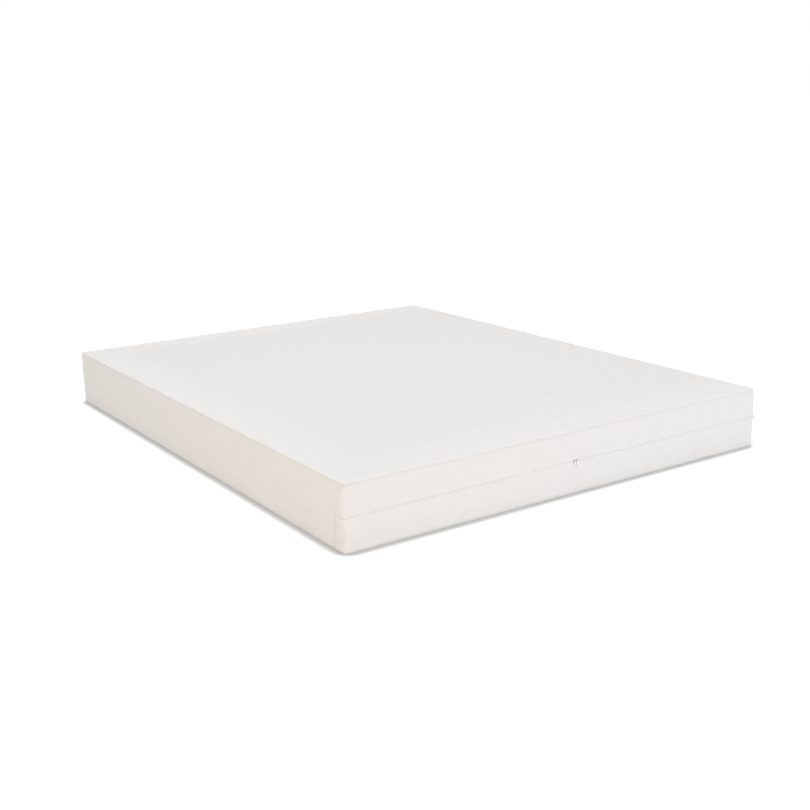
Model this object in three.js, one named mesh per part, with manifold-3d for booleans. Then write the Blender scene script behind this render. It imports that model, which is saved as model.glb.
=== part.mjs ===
// A memory foam mattress: three foam layers in a stockinette sleeve, inside a knitted cover that zips open
// along its foot end. Two sliders run along the zip, and each carries a pull that swings on it.
// Millimetres. X runs across the bed, Y from the foot end (-Y) to the head end (+Y), Z up from the underside.
// Most pieces are nested skins of one rounded block, so a piece's place is given as its inset: how far it
// lies in from the outside of the cover.
import * as THREE from 'three';
import { mergeVertices } from 'three/addons/utils/BufferGeometryUtils.js';
import Module from 'manifold-3d';

const wasm = await Module();
wasm.setup();

// --- Driving dimensions -------------------------------------------------------------------------------

// the whole mattress
const width = 1600;
const length = 2000;
const height = 200;
const edgeRadius = 6; // rounding of the long edges, seen in section
const cornerSoftness = 4; // how much rounder the four upright corners are than the edges

// the layers
const coverThickness = 3; // knitted cloth on its thin backing
const sleeveThickness = 1;
const memoryFoamHeight = 40;
const comfortFoamHeight = 25;

// the zip opening in the foot end
const zipHeight = 104; // middle of the zip above the underside
const slitHeight = 1.8; // opening between the two cloth lips
const borderReturn = 45; // how far the zipped border turns round each corner, to its seam
const coilReturn = 38; // how far the zip coil turns round each corner
const hemHeight = 8; // folded hem that the zip tape is sewn to
const tapeSeamHeight = 6.3; // width of tape behind the hem
const tapeThickness = 0.6;
const coilDepth = 1.6;
const coilHeight = 2.2; // of one row of the coil
const stopLength = 2;

// the sliders
const sliderLength = 9;
const noseFlare = 1; // how much wider the slider's nose is than its tail, on each side
const wingThickness = 1.1;
const railThickness = 0.9;
const postThickness = 0.9;
const postLength = 3;
const legLength = 1.6;
const legHeight = 1;
const barRadius = 0.8;
const eyeRadius = 1.1; // outer end of a leg, round the bar
const barStandOff = 3; // bar's centre line, out from the cloth
const meetingX = 10; // the sliders meet just off the middle of the foot end
const meetingGap = 0.6; // between their noses when the zip is shut

// the pulls
const pullLength = 22;
const pullWidth = 6;
const pullThickness = 1.4;
const barrelWall = 0.9;
const pullSlotWidth = 2;
const pullSlotLength = 5;
const pullSlotMargin = 3; // from the tip of the pull up to the slot

// clearances
const fitGap = 0.3; // between any two pieces that touch
const runGap = 0.35; // behind and in front of a slider's wings
const channelClearance = 2; // above and below a slider, to the hems
const pressedClearance = 0.5; // foam pressed in behind the sliders

// --- Sizes that follow from them ----------------------------------------------------------------------

const cornerRadius = edgeRadius + cornerSoftness;
const footY = -length / 2;
const headY = length / 2;

const sleeveInset = coverThickness + fitGap;
const foamInset = sleeveInset + sleeveThickness + fitGap;
const foamTop = height - foamInset;
const memoryFoamBottom = foamTop - memoryFoamHeight;
const comfortFoamTop = memoryFoamBottom - fitGap;
const comfortFoamBottom = comfortFoamTop - comfortFoamHeight;
const supportFoamTop = comfortFoamBottom - fitGap;

// depths behind the foot end's outer face, from the cloth inwards
const crownOuter = coverThickness + runGap;
const crownInner = crownOuter + wingThickness;
const tapeOuter = crownInner + fitGap;
const tapeInner = tapeOuter + tapeThickness;
const coilOuter = tapeInner + fitGap;
const coilInner = coilOuter + coilDepth;
const backWingOuter = coilInner + runGap;
const backWingInner = backWingOuter + wingThickness;
const grooveInset = backWingInner + pressedClearance;

// heights above or below the middle of the zip
const zipHalfGap = postThickness / 2 + fitGap;
const coilTop = zipHalfGap + coilHeight;
const railLow = coilTop + fitGap;
const tailHalf = railLow + railThickness;
const noseHalf = tailHalf + noseFlare;
const channelHalf = noseHalf + channelClearance;
const hemTop = channelHalf + hemHeight;
const tapeTop = channelHalf + tapeSeamHeight;
const grooveHalf = hemTop + pressedClearance;

// the tightest turn that a band makes round a corner, seen from above
const tightestTurn = 0.2;

// how finely the rounded shapes are drawn
const cornerSegments = 6;
const edgeSegments = 4;
const roundSegments = 20;

// --- Finishes -----------------------------------------------------------------------------------------

const knittedCloth = new THREE.MeshStandardMaterial({ color: '#ece9e3', roughness: 0.95, metalness: 0 });
const undersideCloth = new THREE.MeshStandardMaterial({ color: '#e6e3dd', roughness: 0.95, metalness: 0 });
const stockinette = new THREE.MeshStandardMaterial({ color: '#f4f2ee', roughness: 1, metalness: 0 });
const memoryFoam = new THREE.MeshStandardMaterial({ color: '#f2ecd6', roughness: 1, metalness: 0 });
const comfortFoam = new THREE.MeshStandardMaterial({ color: '#f7f6f2', roughness: 1, metalness: 0 });
const supportFoam = new THREE.MeshStandardMaterial({ color: '#dfe3e6', roughness: 1, metalness: 0 });
const wovenTape = new THREE.MeshStandardMaterial({ color: '#e4e0d8', roughness: 0.9, metalness: 0 });
const nylonCoil = new THREE.MeshStandardMaterial({ color: '#dcd8cf', roughness: 0.45, metalness: 0 });
const castZinc = new THREE.MeshStandardMaterial({ color: '#a9a8a4', roughness: 0.35, metalness: 1 });
const satinNickel = new THREE.MeshStandardMaterial({ color: '#c9c7c2', roughness: 0.3, metalness: 1 });

// --- Small helpers ------------------------------------------------------------------------------------

const mattress = new THREE.Group();

// A closed three.js geometry as a solid that can be joined and cut.
function solid(geometry) {
  const bare = geometry.clone();
  bare.deleteAttribute('normal');
  bare.deleteAttribute('uv');
  const merged = mergeVertices(bare, 1e-3);
  return new wasm.Manifold(new wasm.Mesh({
    numProp: 3,
    vertProperties: new Float32Array(merged.attributes.position.array),
    triVerts: new Uint32Array(merged.index.array),
  }));
}

// Adds a solid to the mattress as a named mesh, and returns the mesh so that it can be placed.
function addPiece(name, shape, material) {
  const { vertProperties, triVerts } = shape.getMesh();
  const geometry = new THREE.BufferGeometry();
  geometry.setAttribute('position', new THREE.BufferAttribute(new Float32Array(vertProperties), 3));
  geometry.setIndex(new THREE.BufferAttribute(new Uint32Array(triVerts), 1));
  geometry.computeVertexNormals();
  const mesh = new THREE.Mesh(geometry, material);
  mesh.name = name;
  mattress.add(mesh);
  return mesh;
}

// A block between two opposite corners.
function block(low, high) {
  const size = high.map((value, axis) => value - low[axis]);
  const geometry = new THREE.BoxGeometry(...size);
  geometry.translate(...low.map((value, axis) => value + size[axis] / 2));
  return solid(geometry);
}

// The mattress's plan outline, moved in by an inset, with its corners rounded to the given radius.
function planOutline(inset, radius, PathType = THREE.Shape) {
  const x = width / 2 - inset - radius;
  const y = length / 2 - inset - radius;
  const outline = new PathType();
  outline.absarc(x, y, radius, 0, Math.PI / 2);
  outline.absarc(-x, y, radius, Math.PI / 2, Math.PI);
  outline.absarc(-x, -y, radius, Math.PI, 1.5 * Math.PI);
  outline.absarc(x, -y, radius, 1.5 * Math.PI, 2 * Math.PI);
  return outline;
}

// The whole rounded block, moved in by an inset on every side.
function roundedBlock(inset) {
  const rounding = edgeRadius - inset;
  const geometry = new THREE.ExtrudeGeometry(planOutline(inset + rounding, cornerSoftness), {
    depth: height - 2 * edgeRadius,
    bevelEnabled: true,
    bevelThickness: rounding,
    bevelSize: rounding,
    bevelSegments: edgeSegments,
    curveSegments: cornerSegments,
  });
  geometry.translate(0, 0, edgeRadius);
  return solid(geometry);
}

// An upright band that follows the outline all the way round, between two insets and two heights.
function band(outerInset, innerInset, low, high) {
  const outline = planOutline(outerInset, Math.max(cornerRadius - outerInset, tightestTurn));
  const innerRadius = Math.max(cornerRadius - innerInset, tightestTurn);
  outline.holes.push(planOutline(innerInset, innerRadius, THREE.Path));
  const geometry = new THREE.ExtrudeGeometry(outline, {
    depth: high - low,
    bevelEnabled: false,
    curveSegments: cornerSegments,
  });
  geometry.translate(0, 0, low);
  return solid(geometry);
}

// Everything between two heights, or between two distances along the bed.
const slabBetween = (low, high) => block([-width, -length, low], [width, length, high]);
const stretchBetween = (low, high) => block([-width, low, -height], [width, high, 2 * height]);

// The stretch of the foot end, with its turns round both corners.
const footStretch = (turn) => stretchBetween(footY - edgeRadius, footY + turn);

// --- Foam ---------------------------------------------------------------------------------------------

// The zip presses a groove into the foam and parts the sleeve in front of it, round both corners.
const zipGroove = band(-edgeRadius, grooveInset, zipHeight - grooveHalf, zipHeight + grooveHalf)
  .intersect(footStretch(borderReturn + fitGap));

const foamBlock = roundedBlock(foamInset).subtract(zipGroove);
addPiece('support_foam_core', foamBlock.intersect(slabBetween(0, supportFoamTop)), supportFoam);
addPiece(
  'transition_foam_layer',
  foamBlock.intersect(slabBetween(comfortFoamBottom, comfortFoamTop)),
  comfortFoam,
);
addPiece('memory_foam_layer', foamBlock.intersect(slabBetween(memoryFoamBottom, height)), memoryFoam);

const sleeve = roundedBlock(sleeveInset)
  .subtract(roundedBlock(sleeveInset + sleeveThickness))
  .subtract(zipGroove);
addPiece('inner_sleeve', sleeve, stockinette);

// --- Cover --------------------------------------------------------------------------------------------

const coverSkin = roundedBlock(0).subtract(roundedBlock(coverThickness));
const borderBottom = edgeRadius + fitGap;
const borderTop = height - edgeRadius - fitGap;
addPiece('top_panel', coverSkin.intersect(slabBetween(height - edgeRadius, height)), knittedCloth);
addPiece('bottom_panel', coverSkin.intersect(slabBetween(0, edgeRadius)), undersideCloth);

const border = coverSkin.intersect(slabBetween(borderBottom, borderTop));
const sideStart = footY + borderReturn + fitGap;
const sideEnd = headY - cornerRadius;
const sideBorders = border.intersect(stretchBetween(sideStart, sideEnd));
const leftHalf = block([-width, -length, 0], [0, length, height]);
addPiece('left_border', sideBorders.intersect(leftHalf), knittedCloth);
addPiece('right_border', sideBorders.subtract(leftHalf), knittedCloth);
addPiece('head_border', border.intersect(stretchBetween(sideEnd + fitGap, length)), knittedCloth);

// Each zipped border ends in a lip at the slit, and is doubled into a hem where the zip tape is sewn on.
const footBorder = border.intersect(footStretch(borderReturn));
const hemBand = (low, high) => band(coverThickness / 2, crownInner, low, high)
  .intersect(footStretch(borderReturn));
const slitTop = zipHeight + slitHeight / 2;
const slitBottom = zipHeight - slitHeight / 2;
const upperBorder = footBorder
  .intersect(slabBetween(slitTop, height))
  .add(hemBand(zipHeight + channelHalf, zipHeight + hemTop));
const lowerBorder = footBorder
  .intersect(slabBetween(0, slitBottom))
  .add(hemBand(zipHeight - hemTop, zipHeight - channelHalf));
addPiece('zip_border_upper', upperBorder, knittedCloth);
addPiece('zip_border_lower', lowerBorder, knittedCloth);

// --- Zip ----------------------------------------------------------------------------------------------

// A part of the zip's upper or lower half, from a distance above or below the middle to another.
function zipHalf(outerInset, innerInset, near, far, side, turn) {
  const heights = [zipHeight + side * near, zipHeight + side * far].sort((a, b) => a - b);
  return band(outerInset, innerInset, ...heights).intersect(footStretch(turn));
}

const tapeReturn = coilReturn + fitGap + stopLength;
for (const [half, side] of [['upper', 1], ['lower', -1]]) {
  const tape = zipHalf(tapeOuter, tapeInner, zipHalfGap, tapeTop, side, tapeReturn);
  addPiece(`zip_tape_${half}`, tape, wovenTape);
  const coil = zipHalf(coilOuter, coilInner, zipHalfGap, coilTop, side, coilReturn);
  addPiece(`zip_coil_${half}`, coil, nylonCoil);
}

// A stop is crimped across both rows where the coil ends.
const stopBand = band(coilOuter, coilInner, zipHeight - coilTop, zipHeight + coilTop)
  .intersect(stretchBetween(footY + coilReturn + fitGap, footY + tapeReturn));
addPiece('zip_stop_left', stopBand.intersect(leftHalf), castZinc);
addPiece('zip_stop_right', stopBand.subtract(leftHalf), castZinc);

// --- Sliders ------------------------------------------------------------------------------------------

// A slider is drawn about its own centre: X along the zip with the nose at +X, Y inwards from the cloth's
// outer face, Z up from the middle of the zip.

// An outline in X and Z, made solid between two depths.
function plate(outline, outer, inner) {
  const geometry = new THREE.ExtrudeGeometry(outline, {
    depth: inner - outer,
    bevelEnabled: false,
    curveSegments: cornerSegments,
  });
  geometry.rotateX(Math.PI / 2);
  geometry.translate(0, inner, 0);
  return solid(geometry);
}

// A round bar along X, about the pull's hinge line.
function hingeRod(radius, rodLength) {
  const geometry = new THREE.CylinderGeometry(radius, radius, rodLength, roundSegments);
  geometry.rotateZ(Math.PI / 2);
  geometry.translate(0, -barStandOff, 0);
  return solid(geometry);
}

const wingOutline = new THREE.Shape();
wingOutline.moveTo(-sliderLength / 2, -tailHalf);
wingOutline.lineTo(0, -tailHalf);
wingOutline.quadraticCurveTo(sliderLength / 4, -noseHalf, sliderLength / 2 - noseFlare, -noseHalf);
wingOutline.quadraticCurveTo(sliderLength / 2, -noseHalf, sliderLength / 2, -noseHalf + noseFlare);
wingOutline.lineTo(sliderLength / 2, noseHalf - noseFlare);
wingOutline.quadraticCurveTo(sliderLength / 2, noseHalf, sliderLength / 2 - noseFlare, noseHalf);
wingOutline.quadraticCurveTo(sliderLength / 4, noseHalf, 0, tailHalf);
wingOutline.lineTo(-sliderLength / 2, tailHalf);

const crown = plate(wingOutline, crownOuter, crownInner);
const backWing = plate(wingOutline, backWingOuter, backWingInner);
const backMiddle = (backWingOuter + backWingInner) / 2;
const crownMiddle = (crownOuter + crownInner) / 2;
const rail = (side) => block(
  [-sliderLength / 2, coilOuter, side > 0 ? railLow : -tailHalf],
  [sliderLength / 2, backMiddle, side > 0 ? tailHalf : -railLow],
);
const postEnd = sliderLength / 2 - fitGap;
const post = block(
  [postEnd - postLength, crownMiddle, -postThickness / 2],
  [postEnd, backMiddle, postThickness / 2],
);

// Two legs stand out through the slit and hold the bar that the pull hangs on.
const legOuter = sliderLength / 2 - fitGap;
const legInner = legOuter - legLength;
const leg = (low, high) => block([low, -barStandOff, -legHeight / 2], [high, crownMiddle, legHeight / 2]);
const legEye = hingeRod(eyeRadius, 2 * legOuter).subtract(hingeRod(2 * eyeRadius, 2 * legInner));
const slider = crown
  .add(backWing)
  .add(rail(1))
  .add(rail(-1))
  .add(post)
  .add(leg(-legOuter, -legInner))
  .add(leg(legInner, legOuter))
  .add(legEye)
  .add(hingeRod(barRadius, 2 * legOuter));

// --- Pulls --------------------------------------------------------------------------------------------

// A pull is a flat tab under a barrel that turns on the slider's bar. It is drawn hanging straight down.
const barrelInner = barRadius + fitGap;
const barrelOuter = barrelInner + barrelWall;
const barrelHalf = legInner - fitGap;
const barrel = hingeRod(barrelOuter, 2 * barrelHalf).subtract(hingeRod(barrelInner, sliderLength));

const tipRadius = pullWidth / 2;
const tabTop = -(barrelInner + barrelWall / 2);
const tabShoulder = tabTop - 2 * barrelOuter;
const tabOutline = new THREE.Shape();
tabOutline.moveTo(-barrelHalf, tabTop);
tabOutline.quadraticCurveTo(-barrelHalf, tabShoulder / 2, -tipRadius, tabShoulder - barrelOuter);
tabOutline.lineTo(-tipRadius, -pullLength + tipRadius);
tabOutline.absarc(0, -pullLength + tipRadius, tipRadius, Math.PI, 2 * Math.PI);
tabOutline.lineTo(tipRadius, tabShoulder - barrelOuter);
tabOutline.quadraticCurveTo(barrelHalf, tabShoulder / 2, barrelHalf, tabTop);
const slotLow = -pullLength + pullSlotMargin + pullSlotWidth / 2;
const slotHigh = slotLow + pullSlotLength - pullSlotWidth;
const tabSlot = new THREE.Path();
tabSlot.absarc(0, slotHigh, pullSlotWidth / 2, 0, Math.PI);
tabSlot.absarc(0, slotLow, pullSlotWidth / 2, Math.PI, 2 * Math.PI);
tabOutline.holes.push(tabSlot);
const tab = plate(tabOutline, -barStandOff - pullThickness / 2, -barStandOff + pullThickness / 2);
const pull = barrel.add(tab);

for (const [hand, side] of [['left', -1], ['right', 1]]) {
  const x = meetingX + side * (sliderLength + meetingGap) / 2;
  const sliderMesh = addPiece(`zip_slider_${hand}`, slider, castZinc);
  sliderMesh.position.set(x, footY, zipHeight);
  sliderMesh.rotation.y = side > 0 ? Math.PI : 0;
  const pullMesh = addPiece(`zip_pull_${hand}`, pull, satinNickel);
  pullMesh.position.set(x, footY, zipHeight);
}

export default mattress;
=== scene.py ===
# %% [markdown]
# # A memory foam mattress in its zipped knitted cover
# The mattress is three slabs of foam in a stockinette sleeve, inside an ivory knitted cover that zips open
# along its foot end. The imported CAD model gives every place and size, in metres. This lesson dresses it:
# cloth with thickness, seams and rolled lips, a coil zip with two sliders, foam with cells, soft light.

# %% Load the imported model
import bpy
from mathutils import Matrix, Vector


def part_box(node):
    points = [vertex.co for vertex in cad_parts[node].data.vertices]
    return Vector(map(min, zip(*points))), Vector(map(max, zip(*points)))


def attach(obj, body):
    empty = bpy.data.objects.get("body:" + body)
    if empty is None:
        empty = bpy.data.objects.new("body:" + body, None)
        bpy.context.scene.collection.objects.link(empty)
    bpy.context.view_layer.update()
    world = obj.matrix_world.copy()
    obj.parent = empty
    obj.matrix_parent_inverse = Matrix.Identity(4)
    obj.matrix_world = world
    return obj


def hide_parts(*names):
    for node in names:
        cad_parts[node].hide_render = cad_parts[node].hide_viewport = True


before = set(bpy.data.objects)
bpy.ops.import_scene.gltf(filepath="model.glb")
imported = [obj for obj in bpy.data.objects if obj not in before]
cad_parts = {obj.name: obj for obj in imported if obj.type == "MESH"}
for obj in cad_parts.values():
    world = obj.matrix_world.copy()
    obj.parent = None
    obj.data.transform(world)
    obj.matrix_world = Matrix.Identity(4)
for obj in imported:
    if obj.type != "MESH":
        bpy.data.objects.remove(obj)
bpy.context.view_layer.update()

# %% Modules
import math

import bmesh
import bpy
import numpy as np
from mathutils import Matrix, Vector

MM = 0.001

# %% [markdown]
# ## Sizes that come from the model
# The cover's half sizes, the rounding of its edge and the height of the zip are read from the boxes of the
# CAD pieces. Seen from above, the corners are rounded 4 mm more than the edge.

# %% Read the sizes
panel_low, panel_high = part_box("top_panel")
half_width = panel_high[0]
half_length = panel_high[1]
height = panel_high[2]
edge = panel_high[2] - panel_low[2]
corner = edge + 4 * MM
seam_gap = 0.3 * MM
cloth = 3 * MM
zip_z = (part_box("zip_border_upper")[0][2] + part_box("zip_border_lower")[1][2]) / 2
side_seam_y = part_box("left_border")[0][1]
print(f"half sizes {half_width:.3f} x {half_length:.3f}, height {height:.3f}, zip at {zip_z:.3f}")

# %% [markdown]
# ## Walking round the outline
# Every border is a strip of cloth that runs along the mattress's plan outline: straight along the end, a
# quarter circle round the corner, straight along the side. So one function turns a walked distance into a
# place and an outward direction, and a border is then only a profile in section, carried along that walk.

# %% The outline
end_flat = half_width - corner
arc_length = corner * math.pi / 2
side_flat = 2 * (half_length - corner)


def walk_to(y):
    """Walked distance from the middle of the foot end, round the corner, to a place y on the side."""
    return end_flat + arc_length + (half_length - corner + y)


def outline(walked, end=-1.0):
    """Place and outward direction on the plan outline.

    walked is the distance from the middle of the foot end, positive towards +X. It runs along the
    straight end, turns through a quarter circle of the corner radius, then runs along the side.
    end=+1 starts at the middle of the head end instead."""
    hand = np.where(walked < 0, -1.0, 1.0)
    far = np.abs(walked)
    turn = np.clip((far - end_flat) / corner, 0, math.pi / 2)
    along = np.clip(far - end_flat - arc_length, 0, None)
    x = hand * (np.minimum(far, end_flat) + corner * np.sin(turn))
    y = end * (half_length - corner + corner * np.cos(turn) - along)
    return x, y, hand * np.sin(turn), end * np.cos(turn)


side_seam = walk_to(side_seam_y)
print(f"walk from the middle of the foot end to the side seam: {side_seam:.4f} m")

# %% [markdown]
# ## Small shape helpers
# Cloth is never dead flat, but its unevenness has to be the same on every run. A dozen seeded sine waves
# of one rough length, each with its own heading, add up to soft hollows and swellings with no grid in them.

# %% Unevenness and easing


def wander(u, v, wavelength, seed):
    """Smooth seeded unevenness, mostly between -1 and 1.

    It is the sum of twelve sine waves of about the given wavelength, each with its own heading, start
    and stretch, divided by four."""
    rng = np.random.default_rng(seed)
    headings = rng.uniform(0, 2 * math.pi, 12)
    starts = rng.uniform(0, 2 * math.pi, 12)
    stretches = rng.uniform(0.7, 1.4, 12)
    total = 0.0
    for heading, start, stretch in zip(headings, starts, stretches):
        phase = 2 * math.pi * stretch / wavelength
        total = total + np.sin(phase * (u * math.cos(heading) + v * math.sin(heading)) + start)
    return total / 4


def ease(value):
    """0 below 0 and 1 above 1, with the smooth cubic 3t^2 - 2t^3 between."""
    t = np.clip(value, 0, 1)
    return t * t * (3 - 2 * t)


def spaced(*stops):
    """Stations along a line. stops alternate places and step sizes: place, step, place, step, place."""
    places = [np.array([stops[0]])]
    for low, step, high in zip(stops[:-2:2], stops[1:-1:2], stops[2::2]):
        count = max(1, round((high - low) / step))
        places.append(np.linspace(low, high, count + 1)[1:])
    return np.concatenate(places)


# %% [markdown]
# ## Turning arrays into meshes
# A surface is a grid of points worked out as one array. A strip or a tape is a closed profile carried along
# the outline, with its two ends capped. Doubled points are merged and all faces turned outwards.

# %% Mesh makers
square = np.array([[-1.0, -1, 0], [1, -1, 0], [1, 1, 0], [-1, 1, 0]])


def put_in_scene(name, data):
    """An object made from a mesh, a lamp or a camera."""
    piece = bpy.data.objects.new(name, data)
    bpy.context.scene.collection.objects.link(piece)
    return piece


def make_object(name, points, faces, uv=None):
    """A smooth mesh object from points, faces and one UV pair for each point, facing outwards."""
    mesh = bpy.data.meshes.new(name)
    mesh.from_pydata(points.reshape(-1, 3).tolist(), [], faces)
    if uv is not None:
        corner_points = np.empty(len(mesh.loops), dtype=np.int32)
        mesh.loops.foreach_get("vertex_index", corner_points)
        layer = mesh.uv_layers.new(name="cloth")
        layer.data.foreach_set("uv", uv.reshape(-1, 2)[corner_points].astype(np.float32).ravel())
    work = bmesh.new()
    work.from_mesh(mesh)
    bmesh.ops.remove_doubles(work, verts=work.verts, dist=1e-7)
    bmesh.ops.recalc_face_normals(work, faces=work.faces)
    for face in work.faces:
        face.smooth = True
    work.to_mesh(mesh)
    work.free()
    return put_in_scene(name, mesh)


def grid_faces(rows, columns, wrap=False, first=0):
    """Four-sided faces of a grid of points, row after row; wrap joins the last column to the first."""
    row, column = np.meshgrid(np.arange(rows - 1), np.arange(columns - (not wrap)), indexing="ij")
    following = (column + 1) % columns
    a = row * columns + column
    b = row * columns + following
    quads = np.stack([a, b, b + columns, a + columns], axis=2) + first
    return quads.reshape(-1, 4).tolist()


def placed(walked, inset, z, end=-1.0):
    """Points at height z that stand inside the outline by inset, at the walked distances."""
    x, y, out_x, out_y = outline(walked, end)
    return np.stack([x - out_x * inset, y - out_y * inset, z], axis=-1)


def carried(name, walked, inset, z, end=-1.0):
    """A closed profile carried along the outline.

    inset and z are arrays with a row for each station and a column for each profile point. The UV map
    is the walked distance and the distance round the profile, in metres, so a knit keeps its real size."""
    points = placed(walked[:, None], inset, z, end)
    rows, columns = z.shape
    steps = np.hypot(np.diff(inset.mean(axis=0)), np.diff(z.mean(axis=0)))
    around = np.concatenate([[0], np.cumsum(steps)])
    uv = np.stack([np.broadcast_to(walked[:, None], z.shape), np.broadcast_to(around, z.shape)], axis=2)
    faces = grid_faces(rows, columns, wrap=True)
    faces.append(list(range(columns)))
    faces.append(list(range((rows - 1) * columns, rows * columns)))
    return make_object(name, points, faces, uv)


print("helpers ready")

# %% [markdown]
# ## Materials
# Each finish starts from what the real thing is. Colours are given as sRGB hex and turned to linear light
# by one function. A few more add the nodes, so each material reads as a short list of what it is made of.

# %% Colour and node helpers


def linear(hex_colour):
    """An sRGB hex colour as linear red, green, blue and a full alpha."""
    part = np.array([int(hex_colour[place:place + 2], 16) for place in (1, 3, 5)]) / 255
    value = np.where(part <= 0.04045, part / 12.92, ((part + 0.055) / 1.055) ** 2.4)
    return (*value.tolist(), 1.0)


def add_node(tree, kind, inputs=None, **settings):
    """Adds one node. inputs maps a socket's name or number to a value, or to the output it comes from."""
    node = tree.nodes.new(kind)
    for setting, value in settings.items():
        setattr(node, setting, value)
    for socket, value in (inputs or {}).items():
        if isinstance(value, bpy.types.NodeSocket):
            tree.links.new(value, node.inputs[socket])
        else:
            node.inputs[socket].default_value = value
    return node


def maths(tree, operation, *values, clamp=False):
    """The result of one maths step on numbers or on outputs of other nodes."""
    inputs = dict(enumerate(values))
    return add_node(tree, "ShaderNodeMath", inputs, operation=operation, use_clamp=clamp).outputs[0]


def noise(tree, where, scale, detail, roughness=0.5, **settings):
    """Cloudy noise from 0 to 1, with about scale clouds to the metre."""
    inputs = {"Vector": where, "Scale": scale, "Detail": detail, "Roughness": roughness}
    return add_node(tree, "ShaderNodeTexNoise", inputs, **settings).outputs["Fac"]


def between(tree, share, shade, light):
    """A colour between two hex colours: shade where share is 0, light where it is 1."""
    inputs = {"Factor": share, 6: linear(shade), 7: linear(light)}
    return add_node(tree, "ShaderNodeMix", inputs, data_type="RGBA").outputs[2]


def ranged(tree, value, start, end, low, high, **settings):
    """Maps a value so that start gives low and end gives high, and holds it outside them."""
    inputs = {"Value": value, "From Min": start, "From Max": end, "To Min": low, "To Max": high}
    return add_node(tree, "ShaderNodeMapRange", inputs, **settings).outputs["Result"]


def bumps(tree, height_map, strength, distance):
    """The surface's direction, tilted by small bumps."""
    inputs = {"Height": height_map, "Strength": strength, "Distance": distance}
    return add_node(tree, "ShaderNodeBump", inputs).outputs["Normal"]


def object_place(tree):
    """The place on the piece itself, in metres."""
    return add_node(tree, "ShaderNodeTexCoord").outputs["Object"]


def new_material(name, **sockets):
    """A material with its Principled shader's own sockets set; underscores stand for spaces."""
    material = bpy.data.materials.new(name)
    material.use_nodes = True
    shader = material.node_tree.nodes["Principled BSDF"]
    for socket, value in sockets.items():
        shader.inputs[socket.replace("_", " ")].default_value = value
    return material, material.node_tree, shader


def feed(shader, **sockets):
    """Joins outputs of other nodes to a shader's sockets; underscores stand for spaces."""
    for socket, output in sockets.items():
        shader.id_data.links.new(output, shader.inputs[socket.replace("_", " ")])


# %% [markdown]
# ### Knitted cloth
# The cover is a double-jersey knit: columns of loops, called wales, about 1.6 mm apart, crossed by courses
# about 1.3 mm apart. Yarn that is a little thicker here and there gives the cloth a soft cloudiness at a
# few centimetres, which is what the eye sees from across a room. The loops are a bump, and their colour
# is painted darker where they sink: painted shade between the loops.
# Sheen stands for the fine hairs on the yarn, which lighten the cloth where it turns away. The top panel's
# colour is painted 5% darker in its middle, easing back over 0.25 m towards its left side and both ends:
# painted shade, so those rims read a shade paler.

# %% Knit
rim_width = 0.25


def knit(name, light, shade, wale, course, depth, sheen, middle=1.0):
    """A knitted cloth. Loop height is |sin| across a wale, times a chevron |sin| along the courses.

    middle multiplies the colour where the left side and both ends are rim_width or more away, and eases
    to 1 at them: painted shade in the middle, so the rims read paler."""
    material, tree, shader = new_material(
        name, Roughness=0.94, Sheen_Weight=sheen, Sheen_Roughness=0.55, Specular_IOR_Level=0.22)
    cloth_map = add_node(tree, "ShaderNodeUVMap", uv_map="cloth").outputs["UV"]
    split = add_node(tree, "ShaderNodeSeparateXYZ", {0: cloth_map})
    rib = maths(tree, "SINE", maths(tree, "MULTIPLY", split.outputs["X"], math.pi / wale))
    rib = maths(tree, "ABSOLUTE", rib)
    along = maths(tree, "MULTIPLY", split.outputs["Y"], math.pi / course)
    loop = maths(tree, "SINE", maths(tree, "MULTIPLY_ADD", rib, 1.2, along))
    loop_rise_and_painted_shade = maths(tree, "MULTIPLY", rib, maths(tree, "ABSOLUTE", loop))
    cloud = noise(tree, cloth_map, 26.0, 4.0, roughness=0.6, noise_dimensions="2D")
    slub = noise(tree, cloth_map, 220.0, 2.0, noise_dimensions="2D")
    tone = maths(tree, "MULTIPLY_ADD", slub, 0.25, maths(tree, "MULTIPLY", cloud, 0.7))
    # painted shade: the colour is darker where the loops sink
    tone = maths(tree, "MULTIPLY_ADD", loop_rise_and_painted_shade, 0.35, tone, clamp=True)
    colour = between(tree, tone, shade, light)
    # painted shade: the colour is scaled down towards the panel's middle, so its rims read paler
    if middle != 1.0:
        split = add_node(tree, "ShaderNodeSeparateXYZ", {0: object_place(tree)})
        from_end = maths(tree, "SUBTRACT", half_length, maths(tree, "ABSOLUTE", split.outputs["Y"]))
        from_left = maths(tree, "ADD", split.outputs["X"], half_width)
        inwards = maths(tree, "MINIMUM", from_left, from_end)
        painted_middle_shade = ranged(tree, inwards, 0.0, rim_width, 1.0, middle, interpolation_type="SMOOTHSTEP")
        colour = add_node(tree, "ShaderNodeVectorMath", {0: colour, "Scale": painted_middle_shade},
                          operation="SCALE").outputs["Vector"]
    relief = maths(tree, "MULTIPLY_ADD", slub, 0.5, loop_rise_and_painted_shade)
    feed(shader, Base_Color=colour, Normal=bumps(tree, relief, 0.5, depth))
    return material


jersey = ("#ecebea", "#e4e2e0", 1.6 * MM, 1.3 * MM, 0.35 * MM, 0.12)
cover_knit = knit("ivory double-jersey knit", *jersey)
# painted shade: the top panel's middle is painted 5% darker than its rims
panel_knit_painted_shade = knit("ivory double-jersey knit, top panel, painted middle shade", *jersey, middle=0.95)
under_knit = knit("ivory plain knit, underside", "#e6e4df", "#d9d6cf", 2.4 * MM, 2.0 * MM, 0.5 * MM, 0.08)
stockinette = knit("ribbed stockinette", "#f4f2ee", "#dddad4", 2.8 * MM, 1.8 * MM, 0.6 * MM, 0.05)
print("knits", [m.name for m in (cover_knit, panel_knit_painted_shade, under_knit, stockinette)])

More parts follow.
